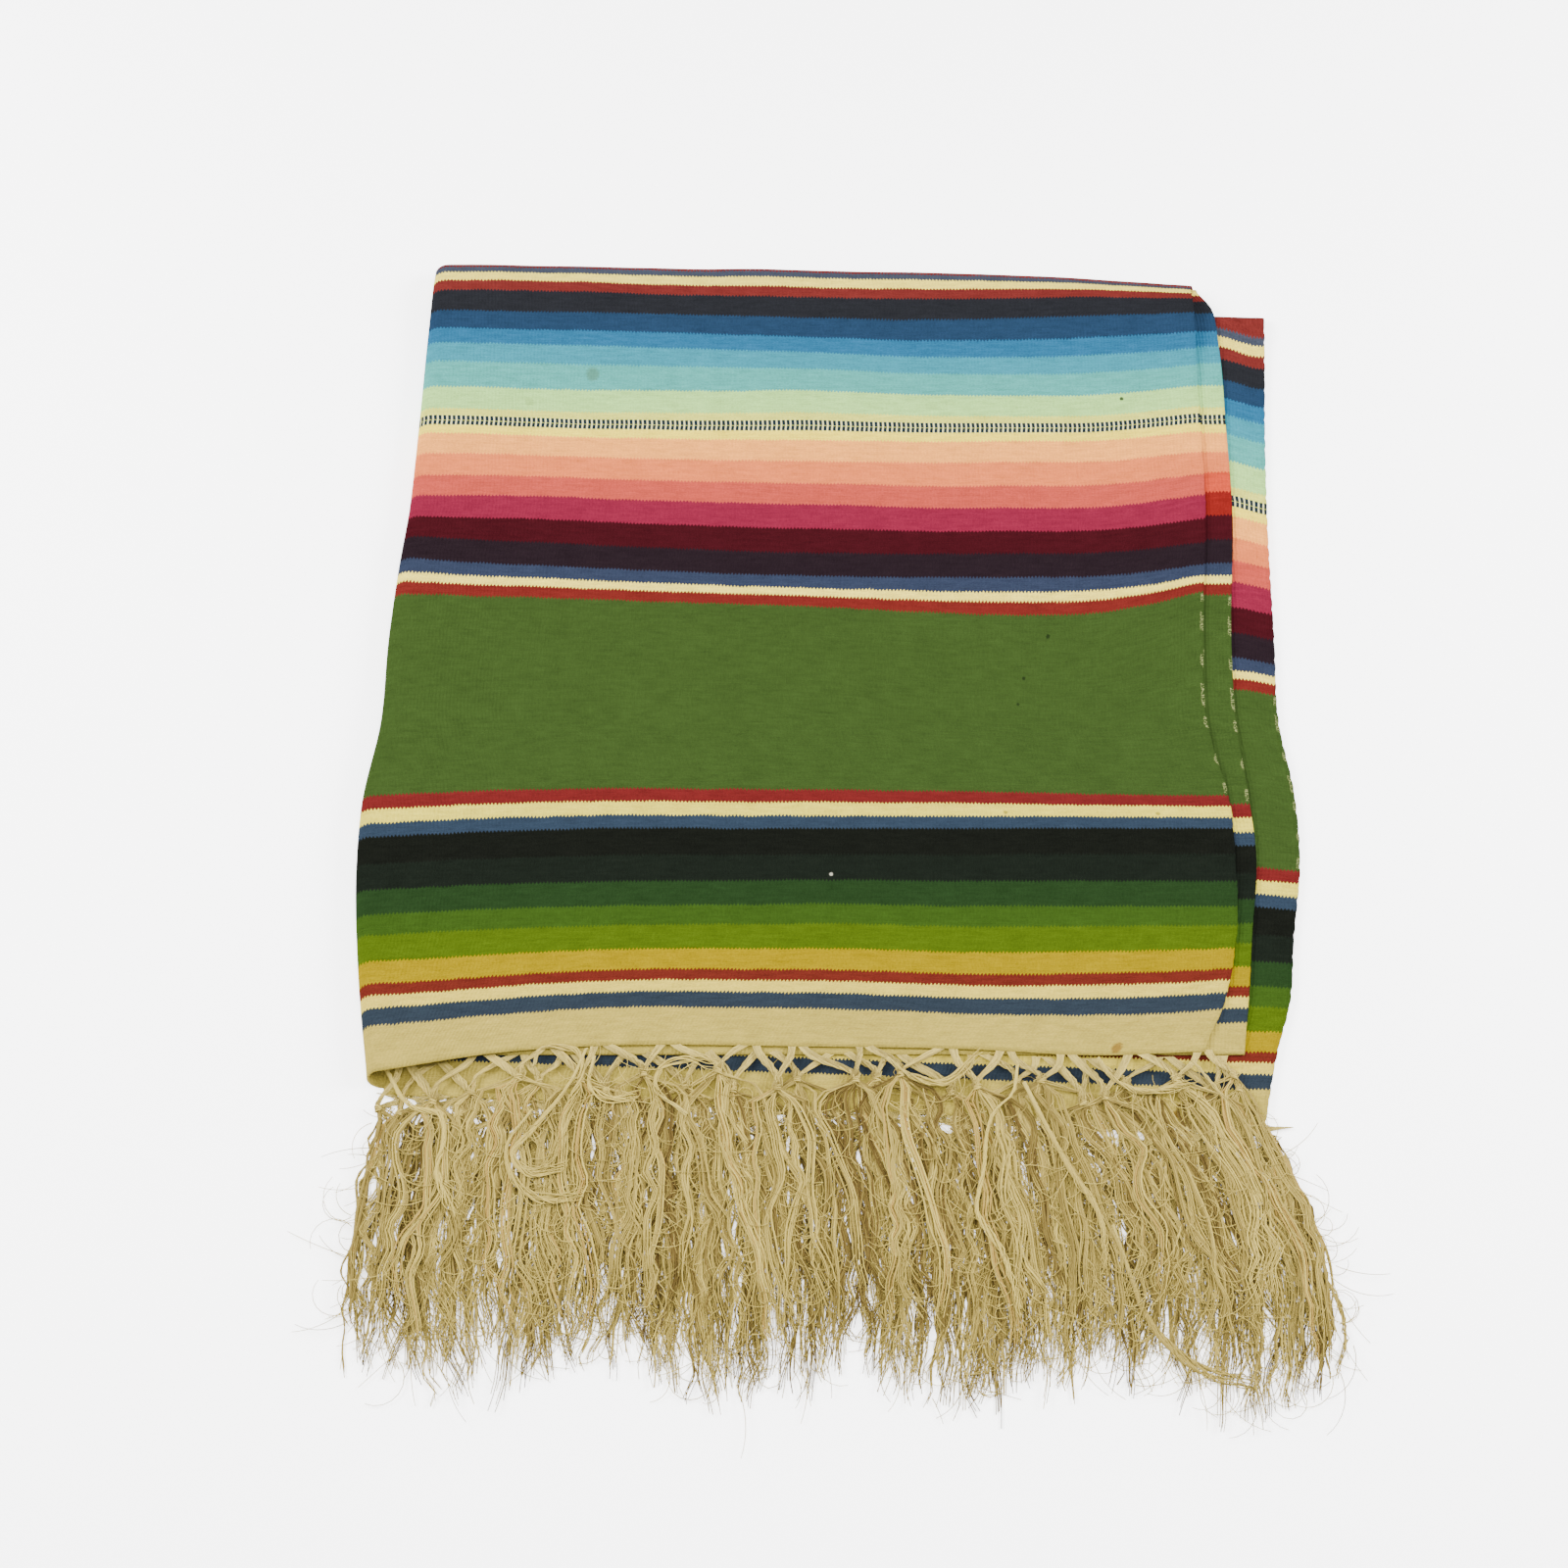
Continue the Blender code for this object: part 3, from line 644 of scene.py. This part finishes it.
def hang(table, hem, ends, hem_z, bed, seed, shift=0.5, groups=13, bundle=12,
         drop=(0.022, 0.040), tight=1.0):
    """One quarter's fringe: yarn paths, their shades, and where the knots are.

    Each group of warps parts in halves, which are twisted and knotted to the neighbours'
    halves, less tightly where tight is under 1. Under a knot the yarns part again into small
    locks, which lie over each other.
    """
    rng = np.random.default_rng(seed)
    roots = (np.arange(groups) + shift) / groups + rng.uniform(-0.014, 0.014, groups)
    joins = (np.arange(groups + 1) + shift - 0.5) / groups
    joins = np.clip(joins + rng.uniform(-0.016, 0.016, groups + 1), 0.003, 0.997)
    depth = rng.uniform(drop[0], drop[1], groups + 1)
    reaches = np.array([0.0, 0.03, 0.08, 0.14, 0.18, 0.25, 0.35, 0.48, 0.61, 0.74, 0.87, 1.0])
    fine = np.concatenate([
        np.linspace(0.0, 0.15, KNOT_POINTS), np.linspace(0.15, 1.0, LOOSE_POINTS + 1)[1:]])
    loose = ease((fine - 0.15) / 0.16)
    rope = ease(fine / 0.04) * (1.0 - ease((fine - 0.11) / 0.04))
    paths, shades, knots = [], [], []
    for join in range(groups + 1):
        knot_s = joins[join]
        knot_x = spread_x(table, 0.14, knot_s)
        knot_y = hem(knot_x) - depth[join]
        knot_z = hem_z * 0.5 + bed[0] * 0.5 + 0.0020
        sides = [s for s in (join - 1, join) if 0 <= s < groups]
        sway = np.cumsum(rng.normal(0.0, 0.0035, len(reaches)))
        locks = 4 * len(sides)
        places = rng.permutation(np.linspace(-1.0, 1.0, locks)) * rng.uniform(0.024, 0.032)
        arch, sag = rng.uniform(0.22, 0.50, 2), rng.uniform(-0.004, 0.004, 2)
        for number in range(locks):
            side = sides[number % len(sides)]
            root_x = spread_x(table, 0.0, roots[side])
            toward = 1.0 if knot_x > root_x else -1.0
            away = abs(knot_x - root_x)
            lock_way = np.cumsum(rng.normal(0.0, 0.0042, len(reaches)))
            wave, wave_long = rng.uniform(0.0008, 0.0044), rng.uniform(0.036, 0.095)
            phase, lock_z = rng.uniform(0.0, 6.3), rng.uniform(0.12, 0.88)
            tip = rng.uniform(0.82, 1.05)
            # Locks that lie higher are painted lighter and lower ones darker: partly dirt, partly
            # painted shade in the depth of the fringe.
            lock_shade = lock_z * 0.6 + rng.uniform(-0.15, 0.55)
            bow, dip = arch[number % len(sides)], sag[number % len(sides)]
            count = int(np.ceil(bundle * len(sides) / locks + rng.uniform(-0.5, 0.5)))
            for yarn_number in range(2 * count):
                across = (number // len(sides) + (yarn_number + 1.0) / (2 * count + 1)) / 4
                start_x = root_x + toward * across * 0.0080 / tight
                own = rng.normal(0.0, 0.0014) + np.cumsum(rng.normal(0.0, 0.0006, len(reaches)))
                own_long = tip * rng.uniform(0.93, 1.04)
                x, y, z = np.empty((3, len(reaches)))
                x[0] = start_x
                x[1] = root_x + toward * (away * bow + (across - 0.5) * 0.0028 / tight)
                x[2] = root_x + toward * (away * 0.88 + (across - 0.5) * 0.0018 / tight)
                hem_at = hem(start_x)
                y[0] = hem_at + 0.002
                y[1] = hem_at - depth[join] * (0.30 - 0.16 * across) + dip
                y[2] = hem_at - depth[join] * (0.70 - 0.06 * across) + dip
                x[3], y[3] = knot_x + rng.normal(0.0, 0.0010 / tight), knot_y + rng.normal(0.0, 0.0015)
                z[0], z[1] = hem_z, hem_z + 0.001
                z[2], z[3] = (hem_z + knot_z) / 2, knot_z + rng.normal(0.0, 0.0007)
                at = np.arange(4, len(reaches))
                grow = ease((reaches[at] - 0.12) / 0.09)
                x[at] = spread_x(table, reaches[at], knot_s) + (sway[at] - sway[3]) * grow
                x[at] += (places[number] + lock_way[at]) * grow + own[at] * (0.4 + 0.6 * grow)
                low, high = spread_x(table, reaches[at], 0.0), spread_x(table, reaches[at], 1.0)
                x[at] = kept_in(x[at], low + 0.014, high - 0.004)
                end = ends(x[-1])
                y[at] = knot_y + (end - knot_y) * (reaches[at] - 0.14) / 0.86 * own_long
                z[at] = bed[0] + (bed[1] - bed[0]) * (lock_z + rng.uniform(-0.15, 0.15))
                path = smooth(reaches, np.stack([x, y, z], axis=-1), fine)
                spin = 2.0 * math.pi * (fine / 0.060 + across * 4.3 + yarn_number / (2 * count))
                path[:, 0] += 0.0013 * np.cos(spin) * rope
                path[:, 1] += 0.0009 * np.cos(spin) * rope
                path[:, 2] += 0.0010 * (1.0 + np.sin(spin)) * rope
                turn = 2.0 * math.pi * (path[:, 1] / wave_long) + phase
                turn += 1.6 * np.sin(path[:, 1] * 47.0 + 3.0 * phase)
                path[:, 0] += wave * np.sin(turn) * loose
                path[:, 2] += (bed[1] - bed[0]) * 0.15 * np.sin(turn * 1.3 + 1.0) * loose
                paths.append(path)
                shades.append(np.clip(lock_shade + rng.normal(0.0, 0.16), 0.0, 1.0))
        knots.append((knot_x, knot_y, knot_z))
    return np.array(paths), np.array(shades), np.array(knots)


def trailing(way, yarns, height, seed):
    """A bundle of yarns that lies loose over the others, along a way of its own."""
    rng = np.random.default_rng(seed)
    way = np.array(way)
    along = np.concatenate([[0.0], np.cumsum(np.linalg.norm(np.diff(way, axis=0), axis=1))])
    fine = np.linspace(0.0, along[-1], KNOT_POINTS + LOOSE_POINTS)
    middle = smooth(along, way, fine)
    paths = []
    for yarn_number in range(yarns):
        spin = 2.0 * math.pi * (fine / 0.030 + yarn_number / yarns)
        wide = 0.0013 + 0.0030 * rng.uniform(-1.0, 1.0) * ease((fine / along[-1] - 0.7) / 0.3)
        x = middle[:, 0] + wide * np.cos(spin)
        y = middle[:, 1] + 0.6 * wide * np.cos(spin) + rng.normal(0.0, 0.003) * fine / along[-1]
        z = height[0] + (height[1] - height[0]) * fine / along[-1] + 0.0011 * np.sin(spin)
        paths.append(np.stack([x, y, z], axis=-1))
    return paths


def taper(count, steps, thick, rng):
    """Radii along yarns: a little uneven, thin at the tip."""
    along = np.linspace(0.0, 1.0, steps)
    end = (0.62 + 0.38 * ease((along - 0.26) / 0.12)) * (1.0 - 0.55 * ease((along - 0.75) / 0.25))
    return thick * end[None, :] * rng.uniform(0.85, 1.15, (count, 1))


def wrapped(name, knots, seed, radius=0.0030, wraps=3, steps=14):
    """The knots: a few turns of yarn round each bundle."""
    rng = np.random.default_rng(seed)
    turn = 2.0 * math.pi * np.arange(steps) / steps
    rings = []
    for x, y, z in knots:
        for wrap in range(wraps):
            slope, wide = rng.uniform(-0.5, 0.5), radius * rng.uniform(0.85, 1.1)
            shift = (wrap - 1) * 0.0016
            rings.append(np.stack([
                x + wide * np.cos(turn),
                y + shift + slope * wide * np.cos(turn) + rng.normal(0.0, 0.0002),
                z + 0.75 * wide * np.sin(turn),
            ], axis=-1))
    rings = np.array(rings)
    thick = np.full(rings.shape[:2], 0.0009)
    return strands(name, rings, thick, rng.uniform(0.4, 0.9, len(rings)), sides=4, closed=True)


def frizz(name, paths, count, seed, low):
    """Loose fibres that curl off the yarns."""
    rng = np.random.default_rng(seed)
    steps = 9
    chosen = rng.integers(0, len(paths), count)
    at = rng.integers(KNOT_POINTS, KNOT_POINTS + LOOSE_POINTS - 1, count)
    start = paths[chosen, at]
    heading = -math.pi / 2 + rng.normal(0.0, 0.9, count)
    curl = rng.normal(0.0, 1.0, count) * 65.0
    length = rng.uniform(0.015, 0.070, count)
    step = (length / steps)[:, None]
    way = heading[:, None] + curl[:, None] * step * np.arange(steps)[None, :]
    x = start[:, :1] + np.cumsum(np.cos(way) * step, axis=1)
    y = start[:, 1:2] + np.cumsum(np.sin(way) * step, axis=1)
    lift = rng.uniform(0.0, 0.002, count)[:, None] * np.sin(np.linspace(0.0, math.pi, steps))
    z = np.clip(start[:, 2:] + lift, low, None)
    points = np.stack([x, y, z], axis=-1)
    thick = FIBRE * np.linspace(1.0, 0.6, steps)[None, :] * np.ones((count, 1))
    return strands(name, points, thick, rng.uniform(0.45, 0.97, count))


def yarn_finish(name):
    made, shader, lead_in = finish_of(name)
    place = lead_in.node("ShaderNodeUVMap", {"uv_map": "yarn"}, {})
    parts = lead_in.node("ShaderNodeSeparateXYZ", {}, {0: place})
    shade, along = parts, Lead(made.node_tree, parts.socket.node.outputs[1])
    colour = lead_in.blend(shade, (0.055, 0.034, 0.0068, 1.0), (0.315, 0.240, 0.056, 1.0))
    colour = lead_in.blend((shade > 0.97) * 0.6, colour, (0.170, 0.085, 0.016, 1.0))
    near_hem = lead_in.node("ShaderNodeClamp", {}, {0: 1.1 - along * 3.4})
    colour = lead_in.blend(near_hem * 0.5, colour, (0.370, 0.295, 0.082, 1.0))
    tree = made.node_tree
    tree.links.new(colour.socket, shader.inputs["Base Color"])
    shader.inputs["Roughness"].default_value = 0.8
    shader.inputs["Specular IOR Level"].default_value = 0.08
    return made


def upper_hem(x):
    share = np.clip((x - roll_top(UPPER_HEM)) / (0.322 - roll_top(UPPER_HEM)), 0.0, 1.0)
    share = np.atleast_1d(share)
    return float((UPPER_HEM + lead(np.array([UPPER_HEM]), share))[0, 0])


def second_hem(x):
    return upper_hem(x) - 0.004


def upper_ends(x):
    return -0.489 - 0.022 * x + 0.008 * math.sin(x * 26.0 + 0.4)


# Bundles that lie apart from the rest: doubled back, twisted, or strayed to the right.
Stray = namedtuple("Stray", "yarns lift settles shade way")
STRAYS = [
    Stray(14, 0.0130, 0.0125, 0.85, [(-0.210, -0.245), (-0.220, -0.270), (-0.255, -0.320),
                                     (-0.270, -0.340), (-0.255, -0.355), (-0.225, -0.350)]),
    Stray(10, 0.0125, 0.0125, 0.75, [(-0.255, -0.300), (-0.275, -0.335), (-0.265, -0.365),
                                     (-0.245, -0.378), (-0.210, -0.375)]),
    Stray(8, 0.0125, 0.0130, 0.95, [(0.160, -0.260), (0.155, -0.285), (0.140, -0.300),
                                    (0.128, -0.355), (0.122, -0.390), (0.140, -0.420),
                                    (0.156, -0.475)]),
    Stray(14, 0.0125, 0.0130, 0.75, [(0.165, -0.275), (0.200, -0.350), (0.225, -0.395),
                                     (0.228, -0.435)]),
    Stray(7, 0.0125, 0.0020, 0.60, [(0.310, -0.255), (0.340, -0.295), (0.375, -0.345),
                                    (0.385, -0.405), (0.420, -0.465), (0.424, -0.490),
                                    (0.414, -0.525)]),
    Stray(12, 0.0120, 0.0130, 0.95, [(-0.383, -0.260), (-0.357, -0.297), (-0.332, -0.305),
                                     (-0.328, -0.325), (-0.333, -0.355), (-0.315, -0.390)]),
    Stray(7, 0.0125, 0.0130, 0.90, [(-0.254, -0.260), (-0.250, -0.245), (-0.234, -0.243),
                                    (-0.216, -0.248), (-0.213, -0.267), (-0.224, -0.293)]),
    Stray(7, 0.0125, 0.0130, 0.95, [(-0.203, -0.252), (-0.205, -0.280), (-0.190, -0.289),
                                    (-0.165, -0.286)]),
    Stray(6, 0.0125, 0.0130, 0.90, [(-0.123, -0.304), (-0.150, -0.277), (-0.145, -0.262),
                                    (-0.124, -0.255), (-0.100, -0.260)]),
    Stray(7, 0.0125, 0.0130, 0.85, [(0.048, -0.253), (0.069, -0.269), (0.094, -0.275),
                                    (0.128, -0.249)]),
    Stray(7, 0.0125, 0.0130, 0.90, [(0.229, -0.253), (0.241, -0.271), (0.261, -0.282),
                                    (0.308, -0.276)]),
    Stray(16, 0.0105, 0.0030, 0.55, [(0.235, -0.400), (0.247, -0.440), (0.262, -0.482),
                                     (0.303, -0.522), (0.347, -0.534)]),
]
yarn = yarn_finish("fringe_yarn")
first_paths, first_shades, first_knots = hang(
    UPPER_SPREAD, upper_hem, upper_ends, 0.0100, (0.0072, 0.0118), 11)
for number, stray in enumerate(STRAYS):
    laid_over = trailing(stray.way, stray.yarns, (stray.lift, stray.settles), 40 + number)
    first_paths = np.concatenate([first_paths, laid_over])
    first_shades = np.concatenate([first_shades, np.full(stray.yarns, stray.shade)])
second_paths, second_shades, second_knots = hang(
    UPPER_SPREAD, second_hem, upper_ends, 0.0070, (0.0058, 0.0086), 12, 0.95)
upper_pieces = []
for title, paths, shades, knots, seed in (
        ("first_fringe", first_paths, first_shades, first_knots, 21),
        ("second_fringe", second_paths, second_shades, second_knots, 22)):
    rng = np.random.default_rng(seed)
    made = strands(title, paths, taper(len(paths), paths.shape[1], YARN, rng), shades)
    tied = wrapped(title + "_knots", knots, seed + 10)
    loose = frizz(title + "_frizz", paths, 1000, seed + 20, 0.006)
    upper_pieces += [made, tied, loose]
for piece in upper_pieces:
    piece.data.materials.append(yarn)
    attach(piece, "root")
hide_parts("upper_fringe")


# ---------------------------------------------------------------------------------------
# Lower fringe. The warp ends of the third and fourth quarters, knotted alike, spread on the
# floor and showing past the upper fringe at both sides and at its ends.
# ---------------------------------------------------------------------------------------
LOWER_SPREAD = [
    Spread(0.00, -0.384, 0.366),
    Spread(0.25, -0.394, 0.384),
    Spread(0.60, -0.406, 0.406),
    Spread(0.85, -0.410, 0.408),
    Spread(1.00, -0.406, 0.402),
]


def lower_hem(x):
    return -0.3135 + THIRD_TILT * (x - 0.38)


def lower_ends(x):
    return -0.534 - 0.030 * x + 0.012 * math.sin(x * 30.0 + 1.1)


third_paths, third_shades, third_knots = hang(
    LOWER_SPREAD, lower_hem, lower_ends, 0.0044, (0.0028, 0.0054), 13,
    groups=21, bundle=8, drop=(0.008, 0.018), tight=0.25)
fourth_paths, fourth_shades, fourth_knots = hang(
    LOWER_SPREAD, lower_hem, lower_ends, 0.0020, (0.0012, 0.0030), 14, 0.95,
    groups=21, bundle=8, drop=(0.008, 0.018), tight=0.25)
# The third and fourth fringes are painted darker: partly dirt, partly painted shade under the upper
# fringe.
third_shades, fourth_shades = third_shades * 0.85, fourth_shades * 0.75
lower_pieces = []
for title, paths, shades, knots, seed in (
        ("third_fringe", third_paths, third_shades, third_knots, 23),
        ("fourth_fringe", fourth_paths, fourth_shades, fourth_knots, 24)):
    rng = np.random.default_rng(seed)
    made = strands(title, paths, taper(len(paths), paths.shape[1], YARN, rng), shades)
    tied = wrapped(title + "_knots", knots, seed + 10, radius=0.0022)
    loose = frizz(title + "_frizz", paths, 700, seed + 20, 0.0008)
    lower_pieces += [made, tied, loose]
for piece in lower_pieces:
    piece.data.materials.append(yarn)
    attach(piece, "root")
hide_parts("lower_fringe")


# ---------------------------------------------------------------------------------------
# Floor, light and camera. A plain pale floor under wide soft lights.
# ---------------------------------------------------------------------------------------
FLOOR_HALF = 25.0


def make_floor():
    mesh = bpy.data.meshes.new("floor")
    half = FLOOR_HALF
    corners = [(-half, -half, 0.0), (half, -half, 0.0), (half, half, 0.0), (-half, half, 0.0)]
    mesh.from_pydata(corners, [], [(0, 1, 2, 3)])
    made = bpy.data.objects.new("floor", mesh)
    bpy.context.scene.collection.objects.link(made)
    pale, shader, _ = finish_of("pale_floor")
    shader.inputs["Base Color"].default_value = (0.93, 0.93, 0.935, 1.0)
    shader.inputs["Roughness"].default_value = 0.9
    shader.inputs["Emission Color"].default_value = (1.0, 0.985, 1.0, 1.0)
    shader.inputs["Emission Strength"].default_value = 1.5
    mesh.materials.append(pale)
    return made


def soft_light(name, place, aim, size, power):
    lamp = bpy.data.lights.new(name, "AREA")
    lamp.shape, lamp.size, lamp.size_y, lamp.energy = "RECTANGLE", size, size, power
    made = bpy.data.objects.new(name, lamp)
    made.location = place
    way = np.array(aim) - np.array(place)
    flat = math.hypot(way[0], way[1])
    made.rotation_euler = (math.atan2(flat, -way[2]), 0.0, math.atan2(-way[0], way[1]))
    bpy.context.scene.collection.objects.link(made)


make_floor()
soft_light("left", (-2.0, 0.5, 1.7), (0.0, 0.0, 0.0), 1.2, 190.0)
soft_light("right", (2.1, 0.3, 1.5), (0.0, 0.0, 0.0), 1.2, 175.0)
soft_light("over", (0.0, -0.6, 2.6), (0.0, 0.0, 0.0), 1.4, 100.0)
world = bpy.data.worlds.new("studio")
world.use_nodes = True
world.node_tree.nodes["Background"].inputs["Color"].default_value = (1.0, 1.0, 1.0, 1.0)
world.node_tree.nodes["Background"].inputs["Strength"].default_value = 1.35
bpy.context.scene.world = world

CAMERA_AIM = (-0.040, 0.012, 0.0)
CAMERA_HEIGHT = math.radians(65.0)
CAMERA_AWAY = 2.59
lens = bpy.data.cameras.new("camera")
lens.lens, lens.sensor_width = 66.0, 36.0
camera = bpy.data.objects.new("camera", lens)
camera.location = (
    CAMERA_AIM[0],
    CAMERA_AIM[1] - CAMERA_AWAY * math.cos(CAMERA_HEIGHT),
    CAMERA_AIM[2] + CAMERA_AWAY * math.sin(CAMERA_HEIGHT),
)
camera.rotation_euler = (math.pi / 2 - CAMERA_HEIGHT, 0.0, 0.0)
bpy.context.scene.collection.objects.link(camera)
bpy.context.scene.camera = camera
